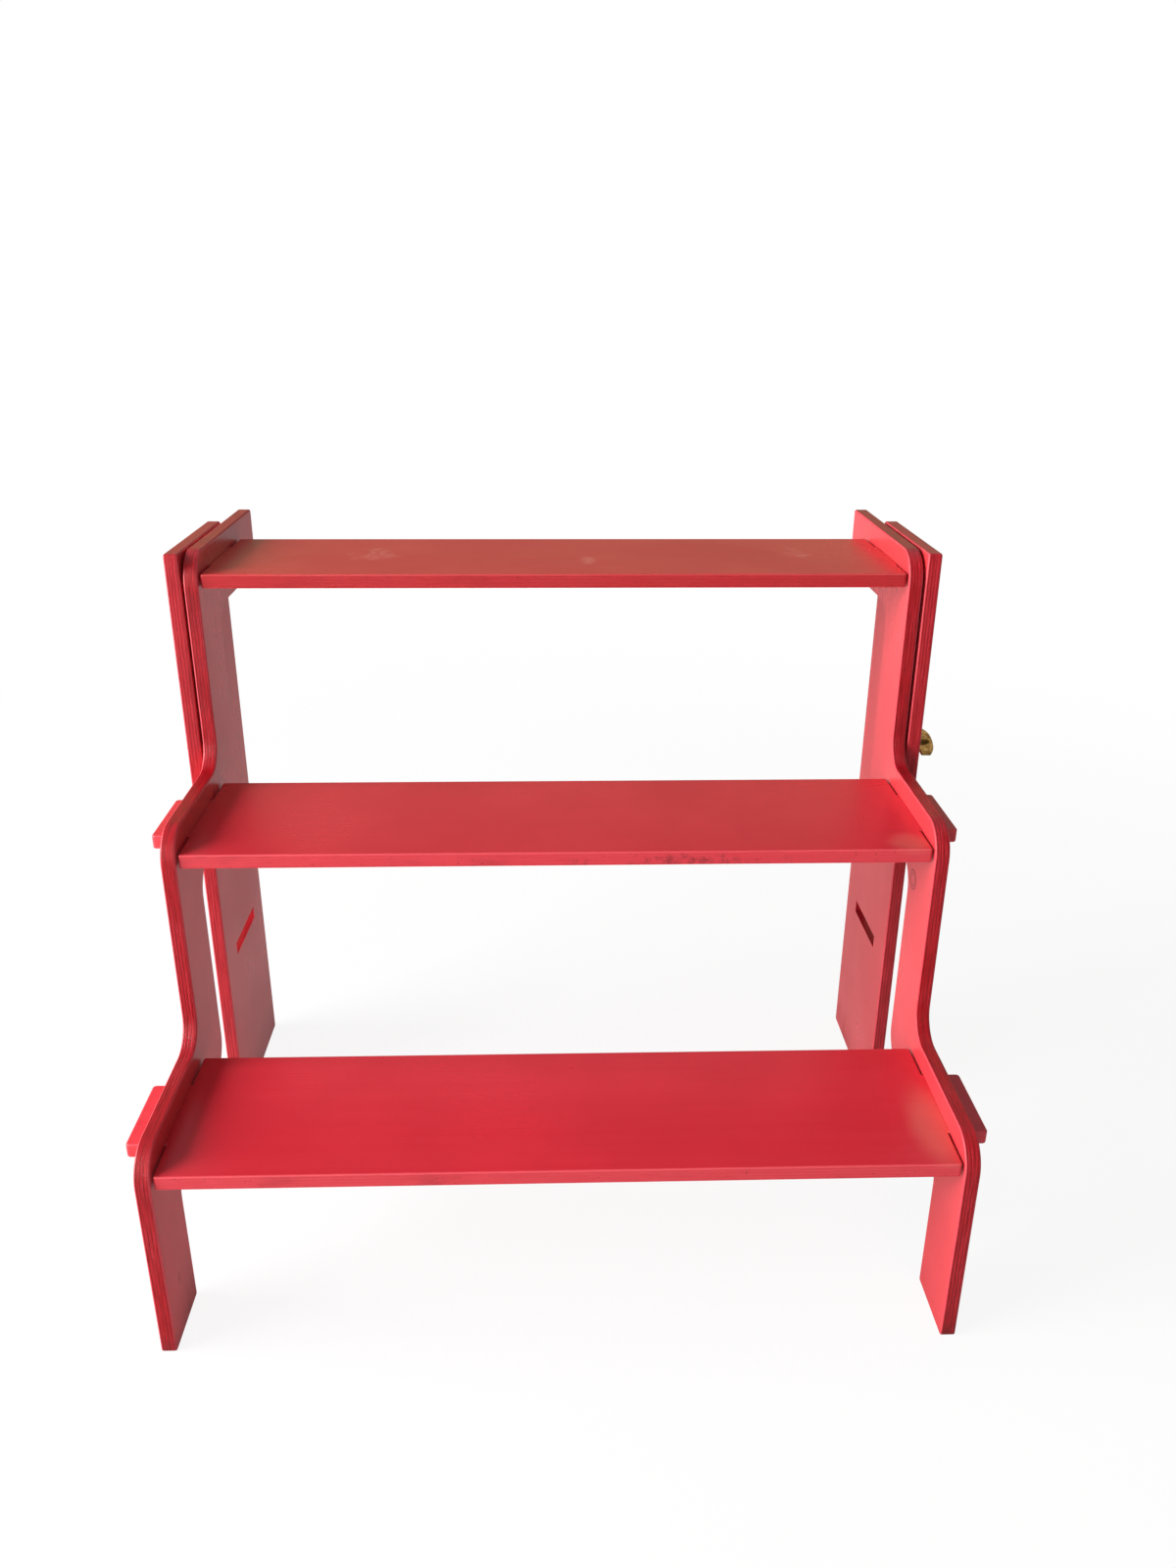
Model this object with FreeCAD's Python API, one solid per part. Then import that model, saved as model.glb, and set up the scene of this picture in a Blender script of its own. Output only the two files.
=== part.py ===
import FreeCAD, Part
import math
import os

# Three-step display stand that packs flat, cut from plywood.
# Two stair-shaped side panels carry three shelves. Each shelf has a tab at both
# ends that passes through a slot in the panel. A straight rear leg lies outside
# each panel and swings on one stud. The right one is clamped by a wing nut.
#
# X runs from left to right, Y from front to back and Z up. The origin is on the
# floor, in the middle of the stand.

# Plywood and the main sizes
ply_thickness = 12.0
inner_width = 600.0
edge_round = 1.5
cutter_overrun = 1.0
same_place = 0.001

# Stair-shaped side panel
tier_run = 150.0
tier_rise = 187.5
lowest_step_height = 185.0
band_width = 60.0
nose_radius = 27.0
notch_radius = 24.0
square_corner_radius = 2.5

# Shelves and their tabs
shelf_depth = 148.0
shelf_setback = 3.0
shelf_drop = 17.5
shoulder_gap = 1.3
tab_length = 74.0
tab_stand_out = 18.0
top_tab_short_of_face = 0.5
tab_corner_radius = 3.0

# Slots that the tabs pass through
slot_end_gap = 0.6
slot_face_gap = 0.25

# Rear legs
leg_width = 148.0
leg_setback = 0.5
leg_gap = 2.5
leg_slot_above_shelf = 2.0

# Pivot hardware
pivot_behind_strip_front = 30.0
pivot_above_middle_step = 6.5
stud_diameter = 6.0
stud_into_insert = 8.0
right_stud_stand_out = 16.0
left_stud_stand_out = 8.5
stud_end_chamfer = 0.6
insert_diameter = 10.0
insert_length = 9.0
insert_wall_below_stud = 1.0
pivot_running_gap = 0.06
side_running_gap = 0.1
spacer_outer_diameter = 20.0
washer_outer_diameter = 18.0
washer_thickness = 1.6
washer_hole_gap = 0.2

# Wing nut on the right and plain nut on the left
hub_base_diameter = 14.0
hub_top_diameter = 10.5
hub_height = 11.0
wing_span = 34.0
wing_height = 18.0
wing_root_height = 2.0
wing_tip_low_height = 8.5
wing_tip_high_height = 13.5
wing_crown_reach = 12.0
wing_mouth_reach = 4.5
wing_thickness = 3.0
wing_corner_radius = 2.5
wing_tilt = 22.0
nut_across_flats = 10.0
nut_height = 5.0


# Sizes that follow from the ones above
step_count = 3
bottom_step = 0
middle_step = 1
top_step = step_count - 1
panel_depth = step_count * tier_run + band_width
shift_y = -panel_depth / 2
inner_x = inner_width / 2
panel_outer_x = inner_x + ply_thickness
leg_inner_x = panel_outer_x + leg_gap
leg_outer_x = leg_inner_x + ply_thickness


def strip_front(step):
    return shift_y + step * tier_run


def strip_rear(step):
    return strip_front(step) + band_width


def step_top(step):
    return lowest_step_height + step * tier_rise


def shelf_top(step):
    return step_top(step) - shelf_drop


def tab_front(step):
    return strip_front(step) + shelf_setback + (shelf_depth - tab_length) / 2


def tab_rear(step):
    return tab_front(step) + tab_length


panel_height = step_top(top_step)
pivot_y = strip_front(top_step) + pivot_behind_strip_front
pivot_z = step_top(middle_step) + pivot_above_middle_step


def rounded_outline(corners):
    """Closed wire through the corners, each given as a point and its radius."""
    edges = []
    ends = []
    count = len(corners)
    for index in range(count):
        point, radius = corners[index]
        before = (corners[index - 1][0] - point).normalize()
        after = (corners[(index + 1) % count][0] - point).normalize()
        if radius <= 0:
            ends.append((point, None, point))
            continue
        half_angle = before.getAngle(after) / 2
        reach = radius / math.tan(half_angle)
        middle_way = (before + after).normalize()
        centre = point + middle_way * (radius / math.sin(half_angle))
        ends.append((point + before * reach, centre - middle_way * radius, point + after * reach))
    for index in range(count):
        start, middle, finish = ends[index]
        if middle is not None:
            edges.append(Part.Arc(start, middle, finish).toShape())
        next_start = ends[(index + 1) % count][0]
        if finish.distanceToPoint(next_start) > same_place:
            edges.append(Part.makeLine(finish, next_start))
    return Part.Wire(edges)


def side_plate(corners, low_x, side):
    """Plate of ply thickness on one side of the stand, from a Y and Z outline."""
    start_x = low_x if side > 0 else -low_x - ply_thickness
    points = []
    for y, z, radius in corners:
        points.append((FreeCAD.Vector(start_x, y, z), radius))
    plate = Part.Face(rounded_outline(points)).extrude(FreeCAD.Vector(ply_thickness, 0, 0))
    return eased(plate, FreeCAD.Vector(1, 0, 0))


def eased(plate, normal):
    """Round the long edges of a plate, which lie in its two broad faces."""
    rims = []
    for edge in plate.Edges:
        middle = edge.valueAt((edge.FirstParameter + edge.LastParameter) / 2)
        start = edge.Vertexes[0].Point
        finish = edge.Vertexes[-1].Point
        levels = [middle * normal, start * normal, finish * normal]
        if max(levels) - min(levels) < same_place:
            rims.append(edge)
    return plate.makeFillet(edge_round, rims)


def box_between(low_x, high_x, low_y, high_y, low_z, high_z):
    size = (high_x - low_x, high_y - low_y, high_z - low_z)
    return Part.makeBox(*size, FreeCAD.Vector(low_x, low_y, low_z))


def cross_slot(low_y, high_y, low_z):
    """Cutter for a slot that a tab lies in, right through both sides."""
    far_x = leg_outer_x + ply_thickness
    return box_between(-far_x, far_x, low_y - slot_end_gap, high_y + slot_end_gap,
                       low_z - slot_face_gap, low_z + ply_thickness + slot_face_gap)


def rod(radius, from_x, to_x, side):
    """Round bar along X at the pivot, between two distances from the middle."""
    base = FreeCAD.Vector(side * from_x, pivot_y, pivot_z)
    return Part.makeCylinder(radius, to_x - from_x, base, FreeCAD.Vector(side, 0, 0))


def stair_panel(side):
    corners = []
    corners.append((strip_front(0), 0, square_corner_radius))
    for step in range(step_count):
        corners.append((strip_front(step), step_top(step), nose_radius))
        if step + 1 < step_count:
            corners.append((strip_front(step + 1), step_top(step), notch_radius))
    rear_end = strip_rear(step_count)
    corners.append((rear_end, panel_height, square_corner_radius))
    corners.append((rear_end, panel_height - band_width, nose_radius))
    for step in reversed(range(step_count)):
        corners.append((strip_rear(step), step_top(step) - band_width, notch_radius))
        if step > 0:
            corners.append((strip_rear(step), step_top(step - 1) - band_width, nose_radius))
    corners.append((strip_rear(0), 0, square_corner_radius))
    panel = side_plate(corners, inner_x, side)
    for step in range(step_count):
        panel = panel.cut(cross_slot(tab_front(step), tab_rear(step), shelf_top(step) - ply_thickness))
    pocket = rod(insert_diameter / 2, panel_outer_x - insert_length, panel_outer_x + cutter_overrun, side)
    return panel.cut(pocket)


def rear_leg(side):
    front = strip_front(top_step) + leg_setback
    rear = front + leg_width
    corners = []
    for y, z in ((front, 0), (front, panel_height), (rear, panel_height), (rear, 0)):
        corners.append((y, z, square_corner_radius))
    leg = side_plate(corners, leg_inner_x, side)
    slot_low = shelf_top(bottom_step) - ply_thickness + leg_slot_above_shelf
    slot_front = front + (leg_width - tab_length) / 2
    leg = leg.cut(cross_slot(slot_front, slot_front + tab_length, slot_low))
    bore = rod(stud_diameter / 2 + pivot_running_gap, panel_outer_x, leg_outer_x + leg_gap, side)
    return leg.cut(bore)


def shelf(step):
    """Plank with a centred tab at each end, shouldered against the panels."""
    front = strip_front(step) + shelf_setback
    rear = front + shelf_depth
    shoulder = inner_x - shoulder_gap
    stand_out = -top_tab_short_of_face if step == top_step else tab_stand_out
    tip = panel_outer_x + stand_out
    near = tab_front(step)
    far = tab_rear(step)
    low_z = shelf_top(step) - ply_thickness
    right_side = [(shoulder, front, square_corner_radius), (shoulder, near, 0),
                  (tip, near, tab_corner_radius), (tip, far, tab_corner_radius),
                  (shoulder, far, 0), (shoulder, rear, square_corner_radius)]
    left_side = [(-x, y, radius) for x, y, radius in reversed(right_side)]
    points = []
    for x, y, radius in right_side + left_side:
        points.append((FreeCAD.Vector(x, y, low_z), radius))
    plank = Part.Face(rounded_outline(points)).extrude(FreeCAD.Vector(0, 0, ply_thickness))
    return eased(plank, FreeCAD.Vector(0, 0, 1))


def washer(outer_diameter, from_x, to_x, side):
    disc = rod(outer_diameter / 2, from_x, to_x, side)
    hole_radius = stud_diameter / 2 + washer_hole_gap
    return disc.cut(rod(hole_radius, from_x - cutter_overrun, to_x + cutter_overrun, side))


def threaded_insert(side):
    outside = rod(insert_diameter / 2, panel_outer_x - insert_length, panel_outer_x, side)
    inside = rod(stud_diameter / 2, panel_outer_x - insert_length + insert_wall_below_stud,
                 panel_outer_x + cutter_overrun, side)
    return outside.cut(inside)


def stud(side, stand_out):
    start = panel_outer_x - stud_into_insert
    tip = leg_outer_x + stand_out
    bar = rod(stud_diameter / 2, start, tip, side)
    rims = []
    for edge in bar.Edges:
        if abs(edge.BoundBox.XLength) < same_place:
            rims.append(edge)
    return bar.makeChamfer(stud_end_chamfer, rims)


def nut_seat():
    return leg_outer_x + side_running_gap + washer_thickness


def wing_nut(side):
    seat = nut_seat()
    base = FreeCAD.Vector(side * seat, pivot_y, pivot_z)
    along = FreeCAD.Vector(side, 0, 0)
    hub = Part.makeCone(hub_base_diameter / 2, hub_top_diameter / 2, hub_height, base, along)
    tip_reach = wing_span / 2
    root_reach = stud_diameter / 2
    outline = [(root_reach, wing_root_height, 0), (tip_reach, wing_tip_low_height, wing_corner_radius),
               (tip_reach, wing_tip_high_height, wing_corner_radius),
               (wing_crown_reach, wing_height, wing_corner_radius),
               (wing_mouth_reach, wing_height, wing_corner_radius), (root_reach, hub_height, 0)]
    points = []
    for reach, height, radius in outline:
        place = FreeCAD.Vector(side * (seat + height), pivot_y + reach, pivot_z - wing_thickness / 2)
        points.append((place, radius))
    wing = Part.Face(rounded_outline(points)).extrude(FreeCAD.Vector(0, 0, wing_thickness))
    half_turn = 180.0
    for turn in (wing_tilt, wing_tilt + half_turn):
        turned = wing.copy()
        turned.rotate(base, FreeCAD.Vector(1, 0, 0), turn)
        hub = hub.fuse(turned)
    bore = rod(stud_diameter / 2 + pivot_running_gap, seat - cutter_overrun,
               seat + wing_height + cutter_overrun, side)
    return hub.cut(bore).removeSplitter()


def plain_nut(side):
    seat = nut_seat()
    sides = 6
    reach = nut_across_flats / 2 / math.cos(math.pi / sides)
    points = []
    for corner in range(sides + 1):
        angle = 2 * math.pi * corner / sides
        points.append(FreeCAD.Vector(side * seat, pivot_y + reach * math.cos(angle),
                                     pivot_z + reach * math.sin(angle)))
    block = Part.Face(Part.makePolygon(points)).extrude(FreeCAD.Vector(side * nut_height, 0, 0))
    return block.cut(rod(stud_diameter / 2, seat - cutter_overrun,
                         seat + nut_height + cutter_overrun, side))


nodes = {}
nodes["bottom_shelf"] = shelf(bottom_step)
nodes["middle_shelf"] = shelf(middle_step)
nodes["top_shelf"] = shelf(top_step)
for name, side in (("right", 1), ("left", -1)):
    nodes[name + "_side_panel"] = stair_panel(side)
    nodes[name + "_rear_leg"] = rear_leg(side)
    nodes[name + "_threaded_insert"] = threaded_insert(side)
    nodes[name + "_spacer_washer"] = washer(spacer_outer_diameter, panel_outer_x,
                                            leg_inner_x - side_running_gap, side)
    nodes[name + "_outer_washer"] = washer(washer_outer_diameter, leg_outer_x + side_running_gap,
                                           nut_seat(), side)
nodes["right_pivot_stud"] = stud(1, right_stud_stand_out)
nodes["left_pivot_stud"] = stud(-1, left_stud_stand_out)
nodes["right_wing_nut"] = wing_nut(1)
nodes["left_plain_nut"] = plain_nut(-1)

os.makedirs("parts", exist_ok=True)
for name, shape in nodes.items():
    solids = shape.Solids
    if len(solids) != 1 or not shape.isValid():
        print("check this piece:", name, len(solids), shape.isValid())
    solids[0].exportStep("parts/" + name + ".step")
    box = shape.BoundBox
    print(name, round(box.XMin, 1), round(box.XMax, 1), round(box.YMin, 1), round(box.YMax, 1),
          round(box.ZMin, 1), round(box.ZMax, 1), "volume", round(shape.Volume))
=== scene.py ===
import math
import bmesh
import bpy
from mathutils import Matrix, Vector


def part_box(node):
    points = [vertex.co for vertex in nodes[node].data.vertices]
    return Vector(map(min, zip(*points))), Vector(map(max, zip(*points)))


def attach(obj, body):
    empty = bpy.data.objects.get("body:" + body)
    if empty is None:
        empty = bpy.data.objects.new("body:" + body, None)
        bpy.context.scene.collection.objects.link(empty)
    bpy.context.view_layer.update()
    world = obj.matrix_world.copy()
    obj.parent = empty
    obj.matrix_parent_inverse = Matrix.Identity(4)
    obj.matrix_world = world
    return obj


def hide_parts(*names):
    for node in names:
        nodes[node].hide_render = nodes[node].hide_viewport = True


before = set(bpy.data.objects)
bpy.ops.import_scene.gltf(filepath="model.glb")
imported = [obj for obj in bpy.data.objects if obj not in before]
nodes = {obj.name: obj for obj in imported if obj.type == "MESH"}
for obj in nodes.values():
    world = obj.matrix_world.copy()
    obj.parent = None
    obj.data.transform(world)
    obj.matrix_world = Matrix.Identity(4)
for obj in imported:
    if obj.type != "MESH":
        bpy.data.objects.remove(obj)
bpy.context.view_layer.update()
mm = 0.001
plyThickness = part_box("right_side_panel")[1].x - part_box("right_side_panel")[0].x
print("frame loaded:", len(nodes), "nodes")


# Node helpers

def put(tree, kind, sockets=None, **settings):
    node = tree.nodes.new("ShaderNode" + kind)
    for key, value in settings.items():
        setattr(node, key, value)
    for key, value in (sockets or {}).items():
        if isinstance(value, bpy.types.NodeSocket):
            tree.links.new(value, node.inputs[key])
        else:
            node.inputs[key].default_value = value
    return node


def calc(tree, operation, *values, clamp=False):
    sockets = dict(enumerate(values))
    return put(tree, "Math", sockets, operation=operation, use_clamp=clamp).outputs[0]


def ramp(tree, value, fromLow, fromHigh, toLow=0.0, toHigh=1.0):
    node = put(tree, "MapRange", {"Value": value, "From Min": fromLow, "From Max": fromHigh,
                                  "To Min": toLow, "To Max": toHigh}, interpolation_type="SMOOTHSTEP")
    return node.outputs["Result"]


def blendColor(tree, factor, first, second):
    node = put(tree, "Mix", data_type="RGBA")
    for key, value in (("Factor", factor), ("A", first), ("B", second)):
        socket = next(s for s in node.inputs if s.name == key and s.enabled)
        if isinstance(value, bpy.types.NodeSocket):
            tree.links.new(value, socket)
        else:
            socket.default_value = value
    return next(s for s in node.outputs if s.enabled)


def tint(tree, mask, share, color, other):
    return blendColor(tree, calc(tree, "MULTIPLY", mask, share), color, other)


def stretched(tree, position, scale):
    return put(tree, "Mapping", {"Vector": position, "Scale": scale}).outputs[0]


def noise(tree, position, scale, detail=2.0, roughness=0.5, distortion=0.0):
    node = put(tree, "TexNoise", {"Vector": position, "Scale": scale, "Detail": detail,
                                  "Roughness": roughness, "Distortion": distortion})
    return node.outputs["Fac"]


def newGroup(name, inputs, outputs):
    tree = bpy.data.node_groups.new(name, "ShaderNodeTree")
    for label, kind, value in inputs:
        socket = tree.interface.new_socket(name=label, in_out="INPUT", socket_type="NodeSocket" + kind)
        if value is not None:
            socket.default_value = value
    for label in outputs:
        tree.interface.new_socket(name=label, in_out="OUTPUT", socket_type="NodeSocketFloat")
    return tree, tree.nodes.new("NodeGroupInput").outputs, tree.nodes.new("NodeGroupOutput").inputs


def useGroup(tree, group, sockets):
    node = tree.nodes.new("ShaderNodeGroup")
    node.node_tree = group
    for key, value in sockets.items():
        if isinstance(value, bpy.types.NodeSocket):
            tree.links.new(value, node.inputs[key])
        else:
            node.inputs[key].default_value = value
    return node.outputs


def newMaterial(name):
    material = bpy.data.materials.new(name)
    material.use_nodes = True
    tree = material.node_tree
    return material, tree, tree.nodes["Principled BSDF"].inputs


def srgb(red, green, blue):
    linear = [(c / 12.92 if c <= 0.04045 else ((c + 0.055) / 1.055) ** 2.4)
              for c in (red / 255, green / 255, blue / 255)]
    return (*linear, 1.0)


# Effects that several materials share

noiseTurn = (0.5, 0.4, 0.6)   # so that the cells of stretched noise don't line up with the boards


def mapped(tree, given, label):
    node = put(tree, "Mapping", {"Vector": given["Position"], "Scale": given[label], "Rotation": noiseTurn})
    return node.outputs[0]


filmRelief = {"stroke": 0.55, "stipple": 0.22, "pore": 0.09}


def makePaintFilm():
    # clouding, brush strokes, the veneer's grain and a fine stipple, as in a hand-rolled coat
    tree, given, result = newGroup("paintFilm", [
        ("Position", "Vector", None), ("Cloud Scale", "Float", 6.0),
        ("Stroke Scale", "Vector", (6, 60, 60)), ("Grain Scale", "Vector", (9, 300, 300)),
        ("Stipple Scale", "Float", 700.0)],
        ["Cloud", "Stroke", "Grain", "Height"])
    cloud = noise(tree, given["Position"], given["Cloud Scale"], 3.0, 0.55)
    stroke = noise(tree, mapped(tree, given, "Stroke Scale"), 1.0, 4.0, 0.62, 0.4)
    grain = noise(tree, mapped(tree, given, "Grain Scale"), 1.0, 2.0, 0.55)
    stipple = noise(tree, given["Position"], given["Stipple Scale"], 2.0, 0.5)
    pores = ramp(tree, grain, 0.52, 0.72)
    height = calc(tree, "MULTIPLY", stipple, filmRelief["stipple"])
    height = calc(tree, "MULTIPLY_ADD", stroke, filmRelief["stroke"], height)
    height = calc(tree, "SUBTRACT", height, calc(tree, "MULTIPLY", pores, filmRelief["pore"]))
    tree.links.new(ramp(tree, cloud, 0.35, 0.65), result["Cloud"])
    tree.links.new(ramp(tree, stroke, 0.3, 0.7), result["Stroke"])
    tree.links.new(pores, result["Grain"])
    tree.links.new(height, result["Height"])
    return tree


plyLook = {
    "layers": 9.0,
    "bareScale": 15.0,       # per metre, the stretches where the layers show or are filled
    "clearest": 0.8,
    "faintest": 0.15,
    "shake": 4.4,            # how far streaks break the layers up
    "bandRelief": 0.6,
    "fleckRelief": 0.8,
}


def makePlyLayers():
    # the glued layers that show through the paint on cut edges, clear in some places and filled in others
    tree, given, result = newGroup("plyLayers", [
        ("Position", "Vector", None), ("Across", "Float", 0.0),
        ("Streak Scale", "Vector", (900, 45, 45)), ("Fleck Scale", "Vector", (900, 260, 260)),
        ("Layers", "Float", plyLook["layers"])],
        ["Band", "Line", "Fleck", "Height"])
    layer = calc(tree, "MULTIPLY", given["Across"], given["Layers"])
    wave = calc(tree, "SINE", calc(tree, "MULTIPLY", layer, math.pi))
    bare = ramp(tree, noise(tree, given["Position"], plyLook["bareScale"], 2.0, 0.5), 0.38, 0.62)
    streak = noise(tree, mapped(tree, given, "Streak Scale"), 1.0, 4.0, 0.7)
    gain = plyLook["clearest"] - plyLook["faintest"]
    depth = calc(tree, "MULTIPLY_ADD", bare, gain, plyLook["faintest"])
    shaken = calc(tree, "MULTIPLY_ADD", calc(tree, "SUBTRACT", streak, 0.5), plyLook["shake"],
                  calc(tree, "MULTIPLY", wave, depth))
    band = ramp(tree, shaken, -0.85, 0.95)
    fromMiddle = calc(tree, "ABSOLUTE", calc(tree, "SUBTRACT", calc(tree, "FRACT", layer), 0.5))
    line = calc(tree, "MULTIPLY", ramp(tree, fromMiddle, 0.36, 0.5), calc(tree, "MULTIPLY", bare, band))
    fleck = ramp(tree, noise(tree, mapped(tree, given, "Fleck Scale"), 1.0, 2.0, 0.6), 0.55, 0.68)
    fleck = calc(tree, "MULTIPLY", fleck, calc(tree, "MULTIPLY_ADD", bare, 0.8, 0.2))
    height = calc(tree, "SUBTRACT", calc(tree, "MULTIPLY", band, plyLook["bandRelief"]),
                  calc(tree, "MULTIPLY", fleck, plyLook["fleckRelief"]))
    for label, value in (("Band", band), ("Line", line), ("Fleck", fleck), ("Height", height)):
        tree.links.new(value, result[label])
    return tree


def makeGrimeAndShade():
    # soft dark patches and small specks where hands leave marks; the patches also mottle the painted shade
    # near the floor
    tree, given, result = newGroup("grimeAndShade", [
        ("Position", "Vector", None), ("Patch Scale", "Vector", (20, 20, 20)), ("Cover", "Float", 0.6),
        ("Softness", "Float", 0.14), ("Speck Scale", "Float", 420.0)],
        ["Patch", "Speck"])
    patch = noise(tree, mapped(tree, given, "Patch Scale"), 1.0, 4.0, 0.6)
    high = calc(tree, "ADD", given["Cover"], given["Softness"])
    tree.links.new(ramp(tree, patch, given["Cover"], high), result["Patch"])
    speck = noise(tree, given["Position"], given["Speck Scale"], 1.0, 0.4)
    tree.links.new(ramp(tree, speck, 0.72, 0.78), result["Speck"])
    return tree


scuffAndSheenLook = {
    "shakeScale": 55.0,      # per metre, the ragged outline
    "shake": 2.2,
    "chipScale": 150.0,      # per metre, the gaps inside
    "chips": (0.44, 0.60),
    "fullShare": 0.3,        # share of the size inside which the rub is full
}


def awayFrom(tree, given):
    node = put(tree, "VectorMath", {0: given["Position"], 1: given["Centre"]}, operation="SUBTRACT")
    return node.outputs[0]


def makeScuffAndSheen():
    # one pale patch, soft or broken up by noise: rubbed scuffs on the top shelf, a painted reflection on the
    # bottom shelf
    tree, given, result = newGroup("scuffAndSheen", [
        ("Position", "Vector", None), ("Centre", "Vector", (0, 0, 0)),
        ("Size", "Vector", (0.01, 0.01, 0.01)), ("Broken", "Float", 1.0)],
        ["Mask"])
    offset = awayFrom(tree, given)
    share = put(tree, "VectorMath", {0: offset, 1: given["Size"]}, operation="DIVIDE").outputs[0]
    shake = put(tree, "TexNoise", {"Vector": given["Position"], "Scale": scuffAndSheenLook["shakeScale"],
                                   "Detail": 5.0}).outputs["Color"]
    shake = put(tree, "VectorMath", {0: shake, 1: (0.5, 0.5, 0.5)}, operation="SUBTRACT").outputs[0]
    size = calc(tree, "MULTIPLY", given["Broken"], scuffAndSheenLook["shake"])
    shake = put(tree, "VectorMath", {0: shake, "Scale": size}, operation="SCALE").outputs[0]
    share = put(tree, "VectorMath", {0: shake, 1: share}, operation="ADD").outputs[0]
    reach = put(tree, "VectorMath", {0: share}, operation="LENGTH").outputs["Value"]
    inside = ramp(tree, reach, 1.0, scuffAndSheenLook["fullShare"])
    chips = noise(tree, given["Position"], scuffAndSheenLook["chipScale"], 6.0, 0.75)
    broken = ramp(tree, chips, *scuffAndSheenLook["chips"])
    gap = calc(tree, "MULTIPLY", given["Broken"], calc(tree, "SUBTRACT", 1.0, broken))
    tree.links.new(calc(tree, "MULTIPLY", inside, calc(tree, "SUBTRACT", 1.0, gap)), result["Mask"])
    return tree


ringLook = {"closedScale": 90.0, "closed": (0.26, 0.42), "faintest": 0.6, "fullShare": 0.3}


def makeRing():
    # a thin dark line in the paint round a filled hole, fainter in places: a crack drawn darker as painted
    # shade of the groove round the plug
    tree, given, result = newGroup("shadedCrackRing", [
        ("Position", "Vector", None), ("Centre", "Vector", (0, 0, 0)), ("Radius", "Float", 0.008),
        ("Width", "Float", 0.0016)],
        ["Mask"])
    reach = put(tree, "VectorMath", {0: awayFrom(tree, given)}, operation="LENGTH").outputs["Value"]
    away = calc(tree, "ABSOLUTE", calc(tree, "SUBTRACT", reach, given["Radius"]))
    line = ramp(tree, calc(tree, "DIVIDE", away, given["Width"]), 1.0, ringLook["fullShare"])
    closed = noise(tree, given["Position"], ringLook["closedScale"], 2.0, 0.6)
    broken = ramp(tree, closed, *ringLook["closed"])
    broken = calc(tree, "MULTIPLY_ADD", broken, 1.0 - ringLook["faintest"], ringLook["faintest"])
    tree.links.new(calc(tree, "MULTIPLY", line, broken), result["Mask"])
    return tree


paintFilm = makePaintFilm()
plyLayers = makePlyLayers()
grimeAndShade = makeGrimeAndShade()
scuffAndSheen = makeScuffAndSheen()
ring = makeRing()


# Painted plywood

paint = {
    "deep": srgb(160, 12, 28),
    "thinPaintAndHaze": srgb(228, 78, 86),
    "pore": srgb(128, 8, 22),
    "grimeAndShade": srgb(72, 8, 16),
    "scuffAndSheen": srgb(216, 132, 112),
    "shadedCrack": srgb(152, 28, 36),
    "roughness": 0.26,
    "strokeAlong": 4.0,      # per metre, along the board
    "strokeAcross": 85.0,
    "grainAlong": 7.0,
    "grainAcross": 380.0,
    "cloudTint": 0.22,       # how much of each effect shows in the colour
    "strokeTint": 0.06,
    "grainTint": 0.03,
    "speckTint": 0.6,
    "footShadeTint": 0.35,
    "tabTint": (0.12, 0.2),  # the least, and what strokes add
    "footShadeHeight": 0.045,      # metres above the floor
    "cloudRough": 0.06,      # what each effect adds to the roughness
    "strokeRough": 0.02,
    "edgeRough": 0.03,
    "rimRough": 0.3,
    "scuffAndSheenRough": 0.3,
    "feetRough": 0.5,
    "relief": 0.05,          # height of the film beside that of the layers
    "bumpStrength": 0.4,
    "bumpDepth": 0.0002,     # metres
}
boardTones = {
    # the panel faces are paler than the shelves' paint: a painted sheen where the side light grazes them
    "panel": {"face": srgb(206, 60, 66), "dark": srgb(132, 0, 8), "pale": srgb(178, 4, 20),
              "rim": srgb(214, 70, 84), "line": srgb(226, 88, 104), "rimWearAndHighlight": 0.4, "lines": 0.95,
              "fleck": 0.45, "smudge": 0.25, "relief": 1.0},
    # the leg faces are paler the same way: a painted sheen
    "leg": {"face": srgb(206, 56, 62), "dark": srgb(146, 10, 22), "pale": srgb(188, 34, 44),
            "rim": srgb(212, 76, 88), "line": srgb(214, 84, 96), "rimWearAndHighlight": 0.45, "lines": 0.5,
            "fleck": 0.3, "smudge": 0.2, "relief": 0.6},
    # the shelves' front edges are pale and almost even: a painted reflection on them
    "shelf": {"face": srgb(208, 42, 56), "dark": srgb(204, 52, 62), "pale": srgb(210, 60, 70),
              "rim": srgb(220, 80, 88), "line": srgb(220, 80, 88), "rimWearAndHighlight": 0.4, "lines": 0.1,
              "fleck": 0.05, "smudge": 0.2, "relief": 0.25},
    # the top shelf's set is darker, most on its front edges: painted shade where less light reaches it
    "topShelf": {"face": srgb(206, 34, 44), "dark": srgb(172, 30, 36), "pale": srgb(182, 38, 44),
                 "rim": srgb(210, 76, 74), "line": srgb(200, 60, 60), "rimWearAndHighlight": 0.4, "lines": 0.1,
                 "fleck": 0.05, "smudge": 0.15, "relief": 0.25},
}


def boardScale(longAxis, along, across):
    scale = [across] * 3
    scale["XYZ".index(longAxis)] = along
    return scale


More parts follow.
